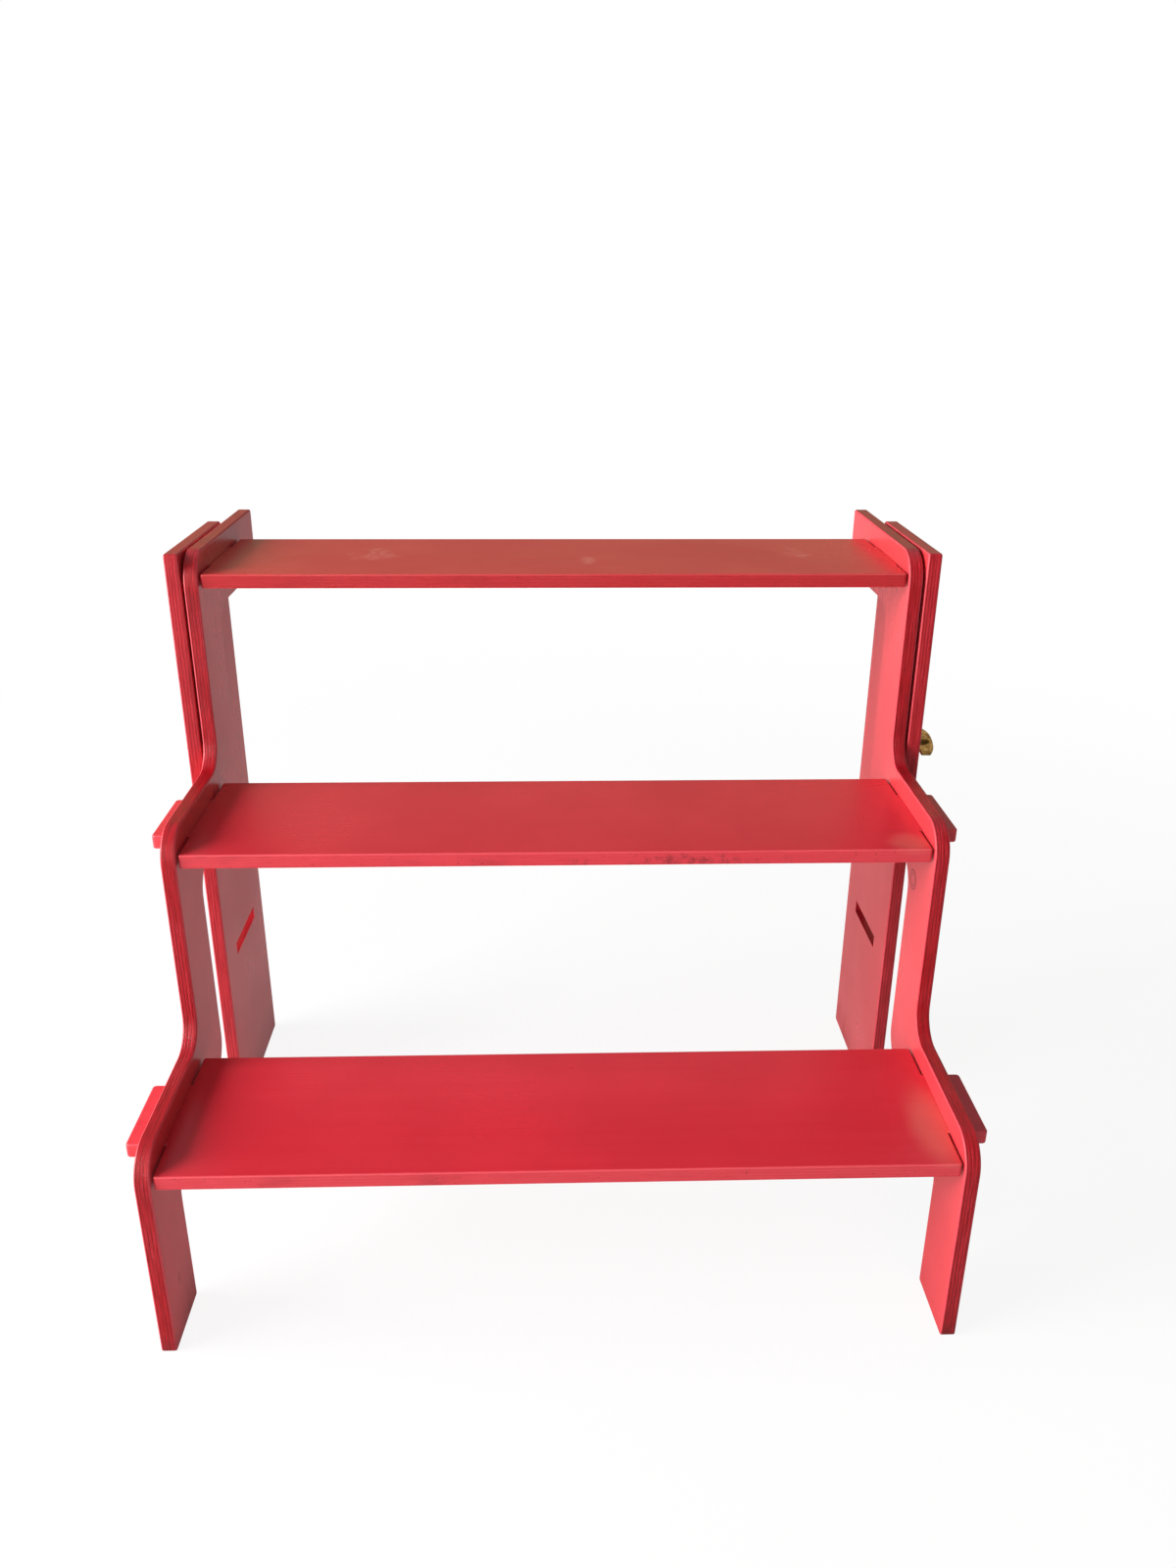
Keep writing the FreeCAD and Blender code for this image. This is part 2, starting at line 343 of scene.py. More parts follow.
def boardMaterial(name, stackAxis, lowFace, longAxis, tone, scuffsAndSheens=(), shadedCracks=()):
    material, tree, shader = newMaterial(name)
    coordinates = put(tree, "TexCoord").outputs
    position = coordinates["Object"]
    place = put(tree, "SeparateXYZ", {"Vector": position}).outputs
    facing = put(tree, "SeparateXYZ", {"Vector": coordinates["Normal"]}).outputs
    fromFace = calc(tree, "SUBTRACT", calc(tree, "ABSOLUTE", place[stackAxis]), lowFace)
    across = calc(tree, "DIVIDE", fromFace, plyThickness, clamp=True)
    square = calc(tree, "POWER", facing[stackAxis], 2.0)
    edge = ramp(tree, square, 0.75, 0.25)
    rim = calc(tree, "MULTIPLY", calc(tree, "MULTIPLY", square, calc(tree, "SUBTRACT", 1.0, square)), 4.0)

    film = useGroup(tree, paintFilm, {
        "Position": position,
        "Stroke Scale": boardScale(longAxis, paint["strokeAlong"], paint["strokeAcross"]),
        "Grain Scale": boardScale(longAxis, paint["grainAlong"], paint["grainAcross"])})
    layers = useGroup(tree, plyLayers, {
        "Position": position, "Across": across, "Streak Scale": boardScale(stackAxis, 900.0, 42.0),
        "Fleck Scale": boardScale(stackAxis, 900.0, 420.0)})
    mottle = useGroup(tree, grimeAndShade, {"Position": position, "Patch Scale": boardScale(longAxis, 11.0, 26.0),
                                  "Cover": 0.54})

    color = tint(tree, film["Cloud"], paint["cloudTint"], tone["face"], paint["deep"])
    color = tint(tree, film["Stroke"], paint["strokeTint"], color, paint["thinPaintAndHaze"])
    color = tint(tree, film["Grain"], paint["grainTint"], color, paint["pore"])
    edgeColor = blendColor(tree, layers["Band"], tone["dark"], tone["pale"])
    edgeColor = tint(tree, layers["Line"], tone["lines"], edgeColor, tone["line"])
    edgeColor = tint(tree, layers["Fleck"], tone["fleck"], edgeColor, paint["pore"])
    edgeColor = tint(tree, mottle["Patch"], tone["smudge"], edgeColor, paint["grimeAndShade"])
    edgeColor = tint(tree, mottle["Speck"], paint["speckTint"], edgeColor, paint["grimeAndShade"])
    color = blendColor(tree, edge, color, edgeColor)
    # the rounded arrises are lighter: worn paint and a painted highlight where they catch the light
    rimWearAndHighlight = calc(tree, "MULTIPLY_ADD", film["Stroke"], 0.4, tone["rimWearAndHighlight"])
    color = tint(tree, rim, rimWearAndHighlight, color, tone["rim"])
    rough = paint["roughness"]
    for mask, label in ((film["Cloud"], "cloudRough"), (film["Stroke"], "strokeRough"), (edge, "edgeRough"),
                        (rim, "rimRough")):
        rough = calc(tree, "MULTIPLY_ADD", mask, paint[label], rough)
    if stackAxis == "Z":
        # the tabs are paler: paint rubbed thin in the slots and a painted haze
        tab = ramp(tree, calc(tree, "ABSOLUTE", place["X"]), panelLow, panelLow + plyThickness)
        least, more = paint["tabTint"]
        color = tint(tree, tab, calc(tree, "MULTIPLY_ADD", film["Stroke"], more, least), color, paint["thinPaintAndHaze"])
    if stackAxis == "X":
        # darker towards the floor: painted contact shade, mottled by the grime patches
        feet = calc(tree, "MULTIPLY", ramp(tree, place["Z"], paint["footShadeHeight"], 0.0), paint["footShadeTint"])
        feet = calc(tree, "MULTIPLY", feet, calc(tree, "MULTIPLY_ADD", mottle["Patch"], 0.6, 0.4))
        color = blendColor(tree, feet, color, paint["grimeAndShade"])
        rough = calc(tree, "MULTIPLY_ADD", feet, paint["feetRough"], rough)
    # pale patches on the shelf tops: rubbed scuffs, and on the bottom shelf a painted reflection beside the
    # right panel
    for palePatch in scuffsAndSheens:
        mask = useGroup(tree, scuffAndSheen, {"Position": position, "Centre": palePatch["centre"],
                                      "Size": palePatch["size"], "Broken": palePatch["broken"]})["Mask"]
        mask = calc(tree, "MULTIPLY", mask, palePatch["strength"])
        color = blendColor(tree, mask, color, palePatch["color"])
        rough = calc(tree, "MULTIPLY_ADD", mask, paint["scuffAndSheenRough"], rough)
    # dark ring round the filled hole: a paint crack darkened as painted groove shade
    for shadedCrack in shadedCracks:
        mask = useGroup(tree, ring, {"Position": position, **shadedCrack})["Mask"]
        color = blendColor(tree, mask, color, paint["shadedCrack"])
    tree.links.new(color, shader["Base Color"])
    tree.links.new(rough, shader["Roughness"])
    shader["IOR"].default_value = 1.5

    edgeHeight = calc(tree, "MULTIPLY", layers["Height"], edge)
    height = calc(tree, "MULTIPLY", film["Height"], paint["relief"])
    height = calc(tree, "MULTIPLY_ADD", edgeHeight, tone["relief"], height)
    bump = put(tree, "Bump", {"Strength": paint["bumpStrength"], "Distance": paint["bumpDepth"],
                              "Height": height})
    tree.links.new(bump.outputs[0], shader["Normal"])
    return material


def mark(color, strength, centre, size, broken=1.0):
    return {"color": color, "strength": strength, "centre": centre, "size": size, "broken": broken}


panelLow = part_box("right_side_panel")[0].x
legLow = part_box("right_rear_leg")[0].x
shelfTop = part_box("top_shelf")[1].z
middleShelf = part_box("middle_shelf")
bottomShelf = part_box("bottom_shelf")
shelfMarks = {
    "top": [mark(paint["scuffAndSheen"], 0.7, (-0.163, 0.125, shelfTop), (0.028, 0.030, 0.01), 0.9),
            mark(paint["scuffAndSheen"], 0.6, (0.028, 0.103, shelfTop), (0.010, 0.024, 0.01), 0.5),
            mark(paint["scuffAndSheen"], 0.7, (0.218, 0.129, shelfTop), (0.016, 0.024, 0.01))],
    "middle": [mark(paint["grimeAndShade"], 0.5, (0.10, middleShelf[0].y, middleShelf[0].z + 0.004),
                    (0.085, 0.006, 0.008)),
               mark(paint["scuffAndSheen"], 0.25, (0.284, -0.088, middleShelf[1].z), (0.024, 0.022, 0.01), 0.2)],
    # soft pale patch beside the right panel: a painted reflection of its lit inner face
    "bottom": [mark(paint["scuffAndSheen"], 0.3, (0.290, -0.207, bottomShelf[1].z), (0.026, 0.064, 0.01), 0.1)],
}


filledHole = {
    "behindFront": 198.0 * mm,
    "aboveFloor": 305.0 * mm,
    "diameter": 17.0 * mm,
    "proud": 0.16 * mm,
    "sunk": 0.6 * mm,
    "ring": 1.4 * mm,
    "insets": ((1.0, 0.0), (0.4, -0.6), (1.5, 0.3)),   # shares of the ring across and of the proud height up
    "edgeRound": 0.25 * mm,
    "sides": 64,
    "shadedCrackShares": (0.96, 0.6),   # of the hole's radius
}


def holeShadedCracks():
    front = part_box("right_side_panel")[0].y
    centre = (panelLow, front + filledHole["behindFront"], filledHole["aboveFloor"])
    return [{"Centre": centre, "Radius": share * filledHole["diameter"] / 2}
            for share in filledHole["shadedCrackShares"]]


def dress(node, material):
    nodes[node].data.materials.clear()
    nodes[node].data.materials.append(material)


panelPaint = boardMaterial("panel_paint", "X", panelLow, "Z", boardTones["panel"], shadedCracks=holeShadedCracks())
legPaint = boardMaterial("leg_paint", "X", legLow, "Z", boardTones["leg"])
for side in ("right", "left"):
    dress(side + "_side_panel", panelPaint)
    dress(side + "_rear_leg", legPaint)
for step, marks in shelfMarks.items():
    shelf = step + "_shelf"
    tone = boardTones["topShelf" if step == "top" else "shelf"]
    dress(shelf, boardMaterial(shelf + "_paint", "Z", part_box(shelf)[0].z, "X", tone, marks))
print("boards painted")


# Brass

def brassMaterial(name, light, dark, roughness, cloudScale, scratchScale):
    material, tree, shader = newMaterial(name)
    position = put(tree, "TexCoord").outputs["Object"]
    cloud = ramp(tree, noise(tree, position, cloudScale, 3.0, 0.5), 0.3, 0.72)
    fine = noise(tree, stretched(tree, position, scratchScale), 1.0, 3.0, 0.6)
    tree.links.new(blendColor(tree, cloud, light, dark), shader["Base Color"])
    tree.links.new(calc(tree, "MULTIPLY_ADD", cloud, 0.16, roughness), shader["Roughness"])
    shader["Metallic"].default_value = 1.0
    bump = put(tree, "Bump", {"Strength": 0.3, "Distance": 0.0001, "Height": fine})
    tree.links.new(bump.outputs[0], shader["Normal"])
    return material


castBrass = brassMaterial("cast_brass", srgb(228, 188, 112), srgb(150, 108, 48),
                          roughness=0.28, cloudScale=240.0, scratchScale=(900, 900, 900))
turnedBrass = brassMaterial("turned_brass", srgb(214, 180, 112), srgb(170, 134, 78),
                            roughness=0.24, cloudScale=180.0, scratchScale=(400, 2600, 400))


# Modelling helpers

def selectOnly(*pieces):
    bpy.ops.object.select_all(action="DESELECT")
    for piece in pieces:
        piece.select_set(True)
    bpy.context.view_layer.objects.active = pieces[0]


def addCylinder(sides, radius, depth, low=0.0, turn=0.0):
    # stands up the Z axis from the given level
    bpy.ops.object.select_all(action="DESELECT")
    bpy.ops.mesh.primitive_cylinder_add(vertices=sides, radius=radius, depth=depth,
                                        location=(0, 0, low + depth / 2), rotation=(0, 0, turn))
    bpy.ops.object.transform_apply(location=True, rotation=True, scale=True)
    return bpy.context.object


def edit(piece):
    bpy.context.view_layer.objects.active = piece
    bpy.ops.object.mode_set(mode="EDIT")


def leave():
    bpy.ops.object.mode_set(mode="OBJECT")


def pick(piece, faceTest=None, edgeTest=None):
    # selects faces or edges of the piece in edit mode by their place
    bpy.ops.mesh.select_all(action="DESELECT")
    bpy.ops.mesh.select_mode(type="FACE" if faceTest else "EDGE")
    mesh = bmesh.from_edit_mesh(piece.data)
    for face in mesh.faces if faceTest else ():
        if faceTest(face.calc_center_median(), face.normal):
            face.select_set(True)
    for line in mesh.edges if edgeTest else ():
        if edgeTest(line.verts[0].co, line.verts[1].co):
            line.select_set(True)
    bmesh.update_edit_mesh(piece.data)


def levelEdge(a, b):
    return abs(a.z - b.z) < 1e-7


def faceOutward():
    bpy.ops.mesh.select_all(action="SELECT")
    bpy.ops.mesh.normals_make_consistent(inside=False)


def modifier(piece, kind, **settings):
    made = piece.modifiers.new(kind.lower(), kind)
    for key, value in settings.items():
        setattr(made, key, value)


def addBevel(piece, width, segments, angle=30):
    modifier(piece, "BEVEL", width=width, segments=segments, limit_method="ANGLE",
             angle_limit=math.radians(angle))


def applyAll(piece):
    bpy.context.view_layer.objects.active = piece
    for made in list(piece.modifiers):
        bpy.ops.object.modifier_apply(modifier=made.name)


def cutWith(piece, tools):
    for tool, way in tools:
        modifier(piece, "BOOLEAN", object=tool, operation=way, solver="EXACT")
    applyAll(piece)
    for tool, way in tools:
        bpy.data.objects.remove(tool)


def joined(*pieces):
    selectOnly(*pieces)
    bpy.ops.object.join()
    return pieces[0]


def settle(piece, place, turn):
    # puts the finished mesh in its place and leaves the object at the origin
    selectOnly(piece)
    piece.location = place
    piece.rotation_euler = turn
    bpy.ops.object.transform_apply(location=True, rotation=True, scale=True)


def finishPiece(piece, name, material, body, node, angle=35):
    piece.name = name
    piece.data.name = name
    piece.data.materials.clear()
    piece.data.materials.append(material)
    selectOnly(piece)
    bpy.ops.object.shade_smooth_by_angle(angle=math.radians(angle))
    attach(piece, body)
    if node:
        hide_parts(node)


# The pivots, where all the hardware sits

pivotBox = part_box("right_pivot_stud")
pivotY = (pivotBox[0].y + pivotBox[1].y) / 2
pivotZ = (pivotBox[0].z + pivotBox[1].z) / 2
studRadius = (pivotBox[1].y - pivotBox[0].y) / 2
quarterTurn = math.pi / 2


def outward(side):
    # turns a piece that was modelled up the Z axis so that it points out of one side
    return (0, quarterTurn * side, 0)


def sideOf(node):
    return 1 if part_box(node)[0].x > 0 else -1


def seatOf(node):
    # the face of a pivot piece that is nearest the middle of the stand
    low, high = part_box(node)
    return low.x if sideOf(node) > 0 else high.x


def lengthOf(node):
    low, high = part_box(node)
    return high.x - low.x


# Washers

washer = {"sides": 56, "edgeRound": 0.25 * mm, "boreGap": 0.2 * mm}


def boreThrough(piece, radius, height, outerRadius):
    # opens a hole along Z by insetting both ends and bridging the two rings
    for level in (0.0, height):
        pick(piece, faceTest=lambda c, n: abs(c.z - level) < 1e-6 and abs(n.z) > 0.9)
        bpy.ops.mesh.inset(thickness=outerRadius - radius, depth=0)
        bpy.ops.mesh.delete(type="FACE")
    near = radius * 1.06
    pick(piece, edgeTest=lambda a, b: max(a.xy.length, b.xy.length) < near)
    bpy.ops.mesh.bridge_edge_loops()


def makeWasher(node, body):
    low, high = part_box(node)
    height = lengthOf(node)
    radius = (high.y - low.y) / 2
    piece = addCylinder(washer["sides"], radius, height)
    edit(piece)
    boreThrough(piece, studRadius + washer["boreGap"], height, radius)
    leave()
    addBevel(piece, washer["edgeRound"], 3)
    applyAll(piece)
    settle(piece, (seatOf(node), pivotY, pivotZ), outward(sideOf(node)))
    finishPiece(piece, "visual_" + node, turnedBrass, body, node)


makeWasher("right_spacer_washer", "right_panel")
makeWasher("right_outer_washer", "right_nut")
makeWasher("left_spacer_washer", "left_panel")
makeWasher("left_outer_washer", "left_panel")
print("washers made")


# Threaded studs

stud = {
    "sides": 32,
    "rootShare": 0.82,        # radius under the thread, as a share of the stud's
    "pitch": 1.0 * mm,
    "toothShare": 0.72,       # size of a tooth's triangle, as a share of the thread's depth
    "toothWidth": 0.47,       # and its width, as a share of the pitch
    "threadStart": 1.0 * mm,  # how far inside the outer washer's seat the thread begins
    "tipRound": 0.5 * mm,
}


def makeStudCore(length, root):
    core = addCylinder(stud["sides"], root, length)
    edit(core)
    pick(core, edgeTest=levelEdge)
    bpy.ops.mesh.bevel(offset=stud["tipRound"], segments=2)
    leave()
    return core


def makeShank(low, high, root):
    # the plain length that the leg turns on
    shank = addCylinder(stud["sides"], studRadius, high - low, low)
    addBevel(shank, studRadius - root, 2)
    applyAll(shank)
    return shank


def makeThread(low, length, root):
    tooth = (studRadius - root) * stud["toothShare"]
    bpy.ops.object.select_all(action="DESELECT")
    bpy.ops.mesh.primitive_circle_add(vertices=3, radius=tooth, fill_type="NOTHING",
                                      location=(0, 0, 0), rotation=(quarterTurn, 0, 0))
    ridge = bpy.context.object
    bpy.ops.object.transform_apply(rotation=True)
    edit(ridge)
    bpy.ops.mesh.select_all(action="SELECT")
    bpy.ops.transform.rotate(value=-quarterTurn, orient_axis="Y", center_override=(0, 0, 0))
    height = tooth * math.sin(math.pi / 3)
    bpy.ops.transform.resize(value=(1, 1, stud["pitch"] * stud["toothWidth"] / height))
    outermost = max(v.co.x for v in bmesh.from_edit_mesh(ridge.data).verts)
    bpy.ops.transform.translate(value=(studRadius - outermost, 0, low + stud["pitch"]))
    leave()
    turns = int((length - stud["tipRound"] - low) / stud["pitch"]) - 1
    modifier(ridge, "SCREW", axis="Z", angle=2 * math.pi, screw_offset=stud["pitch"], iterations=turns,
             steps=stud["sides"], render_steps=stud["sides"], use_merge_vertices=True)
    applyAll(ridge)
    edit(ridge)
    bpy.ops.mesh.select_all(action="DESELECT")
    bpy.ops.mesh.select_mode(type="EDGE")
    bpy.ops.mesh.select_non_manifold()
    bpy.ops.mesh.edge_face_add()      # closes the two ends
    faceOutward()
    leave()
    return ridge


def makeStud(node, body, washerNode):
    length = lengthOf(node)
    root = studRadius * stud["rootShare"]
    threadFrom = abs(seatOf(washerNode) - seatOf(node)) - stud["threadStart"]
    core = makeStudCore(length, root)
    shank = makeShank(stud["tipRound"], threadFrom, root)
    piece = joined(core, shank, makeThread(threadFrom, length, root))
    settle(piece, (seatOf(node), pivotY, pivotZ), outward(sideOf(node)))
    finishPiece(piece, "visual_" + node, turnedBrass, body, node)


makeStud("right_pivot_stud", "right_panel", "right_outer_washer")
makeStud("left_pivot_stud", "left_panel", "left_outer_washer")
print("studs made")


# Wing nut

wingNut = {
    "sides": 24,
    # levels above the seat and the hub's radius at each, closed over the end of the stud
    "profile": [(0, 7.0 * mm), (3.0 * mm, 7.0 * mm), (9.0 * mm, 6.2 * mm), (13.2 * mm, 5.0 * mm),
                (15.4 * mm, 2.8 * mm)],
    "hubRound": 0.5 * mm,
    "boreSides": 48,
    "boreDepth": 14.6 * mm,
    "boreGap": 0.2 * mm,      # all round the stud
    "tilt": 22.0,             # degrees
    "columns": 12,
    "rows": 4,
    "crownFall": 0.27,        # how far the wings' top falls from the middle to the tips
    "underStart": 0.12,       # level of the wings' underside at the middle
    "underRise": 0.14,        # and how far it rises to the tips
    "thickAtHub": 4.6 * mm,
    "thickAtTip": 2.8 * mm,
    "wingRound": 0.7 * mm,
}


def makeNutHub():
    profile = wingNut["profile"]
    hub = addCylinder(wingNut["sides"], profile[0][1], profile[1][0])
    edit(hub)
    pick(hub, faceTest=lambda c, n: n.z > 0.9)
    for (level, radius), (nextLevel, nextRadius) in zip(profile[1:], profile[2:]):
        bpy.ops.mesh.extrude_region_move(TRANSFORM_OT_translate={"value": (0, 0, nextLevel - level)})
        bpy.ops.transform.resize(value=(nextRadius / radius, nextRadius / radius, 1))
    pick(hub, faceTest=lambda c, n: n.z < -0.9)
    bpy.ops.mesh.inset(thickness=profile[0][1] - studRadius - wingNut["boreGap"], depth=0)
    bpy.ops.mesh.extrude_region_move(TRANSFORM_OT_translate={"value": (0, 0, wingNut["boreDepth"])})
    leave()
    addBevel(hub, wingNut["hubRound"], 2, 40)
    modifier(hub, "SUBSURF", levels=1, render_levels=1)
    applyAll(hub)
    return hub


def shapeWings(mesh, reach, height):
    # bends the flat grid, two units wide and high, to the outline of both wings
    for v in mesh.verts:
        out = abs(v.co.x)
        level = (v.co.z + 1) / 2
        top = 1 - wingNut["crownFall"] * out ** 3
        bottom = wingNut["underStart"] + wingNut["underRise"] * out
        thick = wingNut["thickAtHub"] + (wingNut["thickAtTip"] - wingNut["thickAtHub"]) * out
        v.co = (v.co.x * reach, math.copysign(thick / 2, v.co.y),
                height * (bottom + (top - bottom) * level))


def makeNutWings(reach, height):
    bpy.ops.object.select_all(action="DESELECT")
    bpy.ops.mesh.primitive_grid_add(x_subdivisions=wingNut["columns"], y_subdivisions=wingNut["rows"],
                                    size=2, rotation=(quarterTurn, 0, 0))
    wings = bpy.context.object
    bpy.ops.object.transform_apply(rotation=True)
    modifier(wings, "SOLIDIFY", thickness=wingNut["thickAtHub"], offset=0)
    applyAll(wings)
    edit(wings)
    shapeWings(bmesh.from_edit_mesh(wings.data), reach, height)
    bmesh.update_edit_mesh(wings.data)
    faceOutward()
    leave()
    addBevel(wings, wingNut["wingRound"], 2, 50)
    modifier(wings, "SUBSURF", levels=2, render_levels=2)
    applyAll(wings)

    # the smoothing draws the tips in, so the wings are stretched back to their span and height
    edit(wings)
    bpy.ops.mesh.select_all(action="SELECT")
    spots = [v.co for v in bmesh.from_edit_mesh(wings.data).verts]
    fit = (reach / max(c.x for c in spots), 1, height / max(c.z for c in spots))
    bpy.ops.transform.resize(value=fit, center_override=(0, 0, 0))
    leave()

    # and the stud's bore is cut through them
    depth = wingNut["boreDepth"]
    drill = addCylinder(wingNut["boreSides"], studRadius + wingNut["boreGap"], depth * 2, -depth)
    cutWith(wings, [(drill, "DIFFERENCE")])
    return wings


def makeWingNut():
    node = "right_wing_nut"
    low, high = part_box(node)
    tilt = math.radians(wingNut["tilt"])
    reach = ((high.y - low.y - wingNut["thickAtTip"] * math.sin(tilt)) / 2) / math.cos(tilt)
    piece = joined(makeNutHub(), makeNutWings(reach, lengthOf(node)))
    settle(piece, (0, 0, 0), (0, 0, quarterTurn))
    settle(piece, (0, 0, 0), (0, quarterTurn, 0))
    settle(piece, (low.x, pivotY, pivotZ), (tilt, 0, 0))
    finishPiece(piece, "visual_wing_nut", castBrass, "right_nut", node, 60)


makeWingNut()
print("wing nut made")


# Plain nut on the left

plainNut = {
    "acrossFlats": 10.0 * mm,
    "cornerCut": 0.7 * mm,
    "edgeRound": 0.15 * mm,
    "roundSides": 48,
    "boreSides": 32,
}


def makePlainNut():
    node = "left_plain_nut"
    height = lengthOf(node)
    corner = plainNut["acrossFlats"] / 2 / math.cos(math.pi / 6)
    rounding = addCylinder(plainNut["roundSides"], corner, height)
    edit(rounding)
    pick(rounding, edgeTest=levelEdge)
    bpy.ops.mesh.bevel(offset=plainNut["cornerCut"], segments=1)
    leave()
    piece = addCylinder(6, corner, height, turn=quarterTurn)
    drill = addCylinder(plainNut["boreSides"], studRadius * stud["rootShare"], height * 2, -height / 2)
    cutWith(piece, [(rounding, "INTERSECT"), (drill, "DIFFERENCE")])
    addBevel(piece, plainNut["edgeRound"], 2, 40)
    applyAll(piece)
    settle(piece, (seatOf(node), pivotY, pivotZ), outward(-1))
    finishPiece(piece, "visual_plain_nut", turnedBrass, "left_panel", node, 30)


makePlainNut()
dress("right_threaded_insert", turnedBrass)
dress("left_threaded_insert", turnedBrass)
print("nuts made")


# Filled hole under the paint on the right panel's inner face

def makeFilledHole():
    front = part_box("right_side_panel")[0].y
    thickness = filledHole["proud"] + filledHole["sunk"]
    piece = addCylinder(filledHole["sides"], filledHole["diameter"] / 2, thickness)
    edit(piece)
    pick(piece, faceTest=lambda c, n: n.z > 0.9)
    for across, up in filledHole["insets"]:
        bpy.ops.mesh.inset(thickness=filledHole["ring"] * across, depth=filledHole["proud"] * up)
    leave()
    addBevel(piece, filledHole["edgeRound"], 3, 15)
    applyAll(piece)
    place = (panelLow + filledHole["sunk"], front + filledHole["behindFront"], filledHole["aboveFloor"])
    settle(piece, place, (0, -quarterTurn, 0))
    finishPiece(piece, "right_filled_hole", panelPaint, "right_panel", None, 40)


makeFilledHole()
print("filled hole made")


# Studio

studio = {
    "keyFrom": (-3.6, -0.95, 1.45),
    "keySize": 2.8,
    "keyPower": 400.0,
    "frontFrom": (-0.4, -2.6, 1.2),
    "frontSize": 2.2,
    "frontPower": 12.0,
    "aim": (0, 0, 0.28),
    "ambient": 0.26,
    "wallColors": ((1, 0.96, 0.58, 1), (1, 0.93, 1, 1)),   # what gloss shows, low down and higher
    "wallColorRise": (0.25, 0.6),
    "wallStrength": (0.07, 0.36),          # in front of the stand and behind it
    "wallTurn": (-0.6, 0.6),
    "ceilingStrength": 0.3,
    "ceilingRise": (0.55, 0.95),
    "mirroredFloor": (0.08, 0.46),         # the floor's strength in gloss, in front and behind
    "mirroredTurn": (-0.7, 0.3),
    "floorSize": 14.0,
    "floorWhite": 0.9,
    "floorLift": 0.9,                      # share of the floor's brightness that shadows don't touch
    "floorFade": (0.7, 1.9),               # metres from the stand over which the floor turns plain white
}


def addLamp(name, place, size, power):
    lamp = bpy.data.lights.new(name, "AREA")
    lamp.shape = "SQUARE"
    lamp.size = size
    lamp.energy = power
    holder = bpy.data.objects.new(name, lamp)
    bpy.context.scene.collection.objects.link(holder)
    holder.location = place
    holder.rotation_euler = (Vector(studio["aim"]) - Vector(place)).to_track_quat("-Z", "Y").to_euler()


def makeSurroundings():
    # plain white to the camera, a dim tinted room in gloss, and soft light for the rest
    world = bpy.data.worlds.new("studio")
    bpy.context.scene.world = world
    world.use_nodes = True
    tree = world.node_tree
    ray = put(tree, "LightPath").outputs
    seen = calc(tree, "MULTIPLY", ray["Is Camera Ray"], 1.0 - studio["ambient"])
    shiny = calc(tree, "MAXIMUM", ray["Is Glossy Ray"], ray["Is Transmission Ray"])
    way = put(tree, "SeparateXYZ", {"Vector": put(tree, "TexCoord").outputs["Generated"]}).outputs
    wall = ramp(tree, way["Y"], *studio["wallTurn"], *studio["wallStrength"])
    ceiling = ramp(tree, way["Z"], *studio["ceilingRise"], 0.0, studio["ceilingStrength"])
    wall = calc(tree, "ADD", wall, ceiling)
    wall = calc(tree, "MULTIPLY", shiny, calc(tree, "SUBTRACT", wall, studio["ambient"]))
    strength = calc(tree, "ADD", calc(tree, "ADD", seen, wall), studio["ambient"])
    wallColor = blendColor(tree, ramp(tree, way["Z"], *studio["wallColorRise"]), *studio["wallColors"])
    background = tree.nodes["Background"].inputs
    tree.links.new(blendColor(tree, shiny, (1, 1, 1, 1), wallColor), background["Color"])
    tree.links.new(strength, background["Strength"])


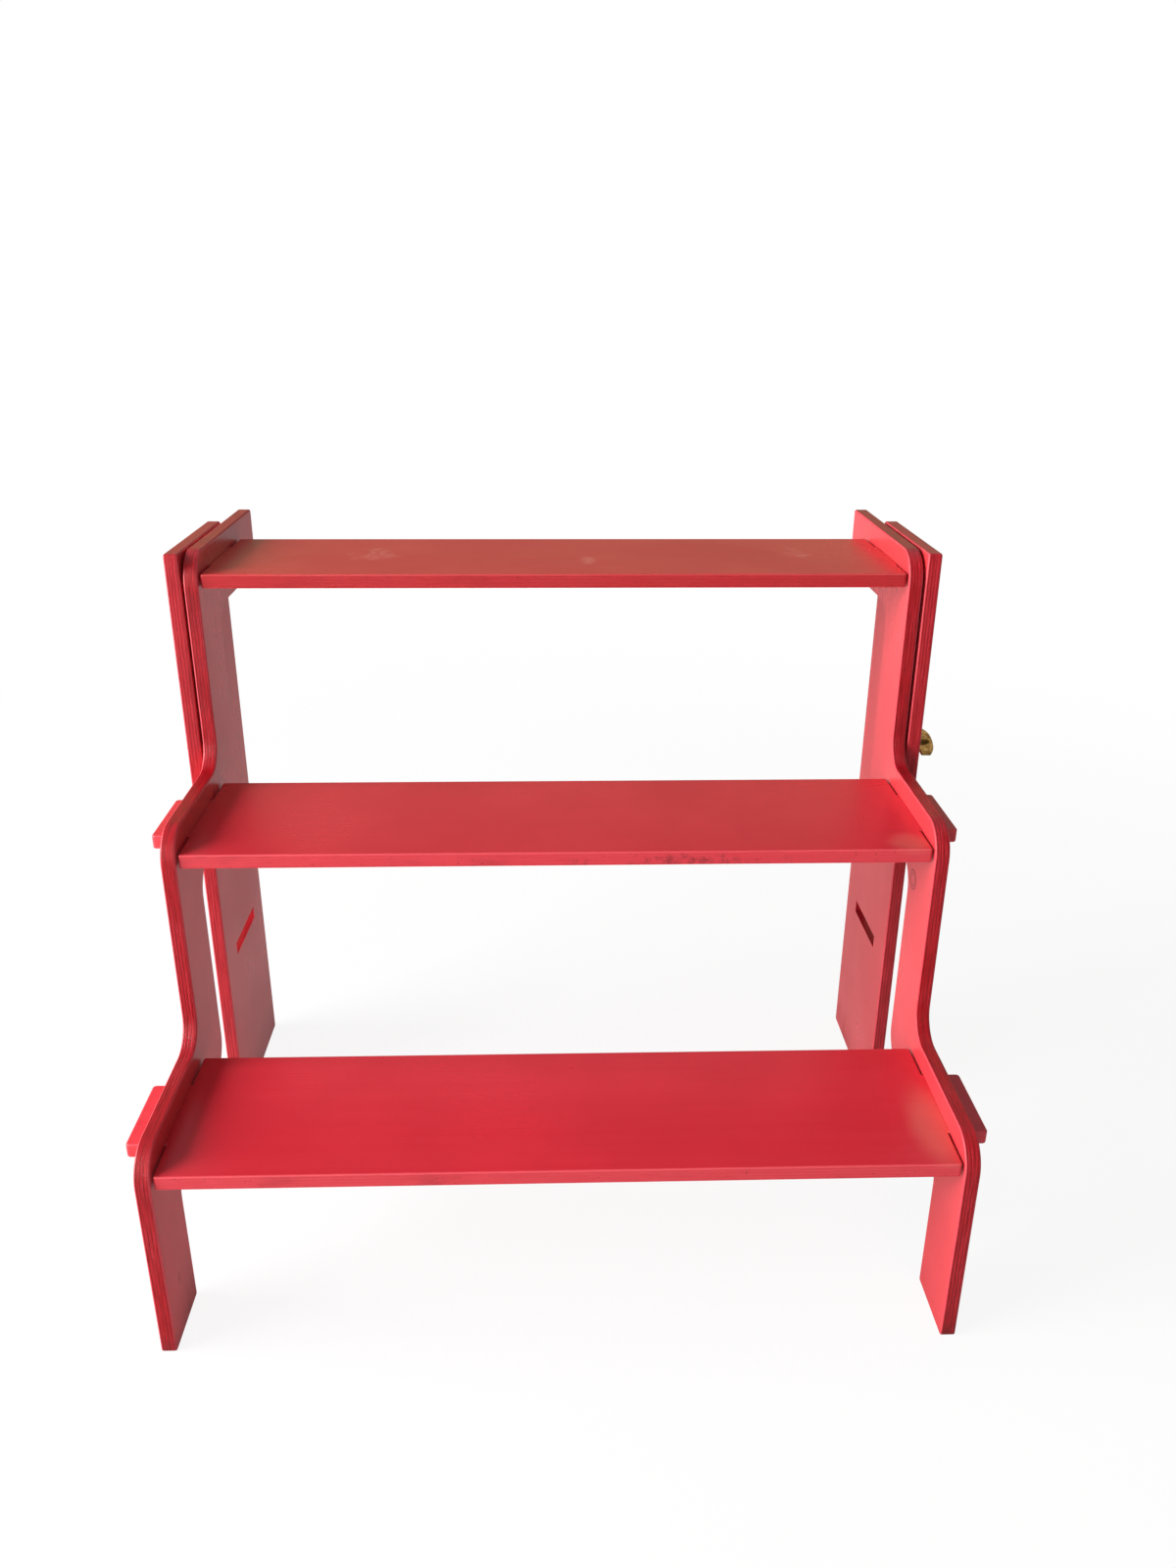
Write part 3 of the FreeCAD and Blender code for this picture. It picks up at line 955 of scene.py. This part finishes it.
def makeFloor():
    bpy.ops.object.select_all(action="DESELECT")
    bpy.ops.mesh.primitive_plane_add(size=studio["floorSize"])
    floor = bpy.context.object
    floor.name = "floor"
    material, tree, shader = newMaterial("floor")
    white = studio["floorWhite"]
    shader["Base Color"].default_value = (white, white, white, 1)
    shader["Roughness"].default_value = 0.8
    shader["Specular IOR Level"].default_value = 0.0
    ray = put(tree, "LightPath").outputs
    position = put(tree, "TexCoord").outputs["Object"]
    away = put(tree, "VectorMath", {0: position}, operation="LENGTH").outputs["Value"]
    plain = ramp(tree, away, *studio["floorFade"], studio["floorLift"], 1.0)
    shiny = calc(tree, "MAXIMUM", ray["Is Glossy Ray"], ray["Is Transmission Ray"])
    depth = put(tree, "SeparateXYZ", {"Vector": position}).outputs["Y"]
    mirrored = ramp(tree, depth, *studio["mirroredTurn"], *studio["mirroredFloor"])
    strength = calc(tree, "MAXIMUM", calc(tree, "MULTIPLY", shiny, mirrored), ray["Is Camera Ray"])
    glow = put(tree, "Emission", {"Color": (1, 1, 1, 1), "Strength": strength})
    seen = calc(tree, "MAXIMUM", shiny, calc(tree, "MULTIPLY", ray["Is Camera Ray"], plain))
    lit = tree.nodes["Principled BSDF"]
    both = put(tree, "MixShader", {0: seen, 1: lit.outputs[0], 2: glow.outputs[0]})
    tree.links.new(both.outputs[0], tree.nodes["Material Output"].inputs["Surface"])
    floor.data.materials.append(material)


addLamp("key_lamp", studio["keyFrom"], studio["keySize"], studio["keyPower"])
addLamp("front_lamp", studio["frontFrom"], studio["frontSize"], studio["frontPower"])
makeSurroundings()
makeFloor()
print("studio made")


# Camera at the photograph's place

view = {
    "behindMiddle": -0.9737,
    "right": -0.0071,
    "height": 0.7796,
    "lookDown": 0.3974,       # radians
    "lookRight": 0.0340,
    "roll": -0.0065,
    "focalShare": 1250.4 / 1600,   # focal length over the picture's height
    "sensor": 36.0,
}


def makeCamera():
    down, right, roll = view["lookDown"], view["lookRight"], view["roll"]
    forward = Vector((math.sin(right) * math.cos(down), math.cos(right) * math.cos(down), -math.sin(down)))
    across = Vector((math.cos(right), -math.sin(right), 0))
    below = forward.cross(across)
    turnedAcross = across * math.cos(roll) + below * math.sin(roll)
    turnedBelow = below * math.cos(roll) - across * math.sin(roll)
    lens = bpy.data.cameras.new("camera")
    lens.sensor_fit = "VERTICAL"
    lens.sensor_height = view["sensor"]
    lens.lens = view["sensor"] * view["focalShare"]
    lens.clip_start = 0.01
    camera = bpy.data.objects.new("camera", lens)
    bpy.context.scene.collection.objects.link(camera)
    basis = Matrix((turnedAcross, -turnedBelow, -forward)).transposed()
    camera.matrix_world = Matrix.Translation((view["right"], view["behindMiddle"], view["height"])) \
        @ basis.to_4x4()
    bpy.context.scene.camera = camera


makeCamera()
bpy.context.scene.view_settings.view_transform = "Standard"
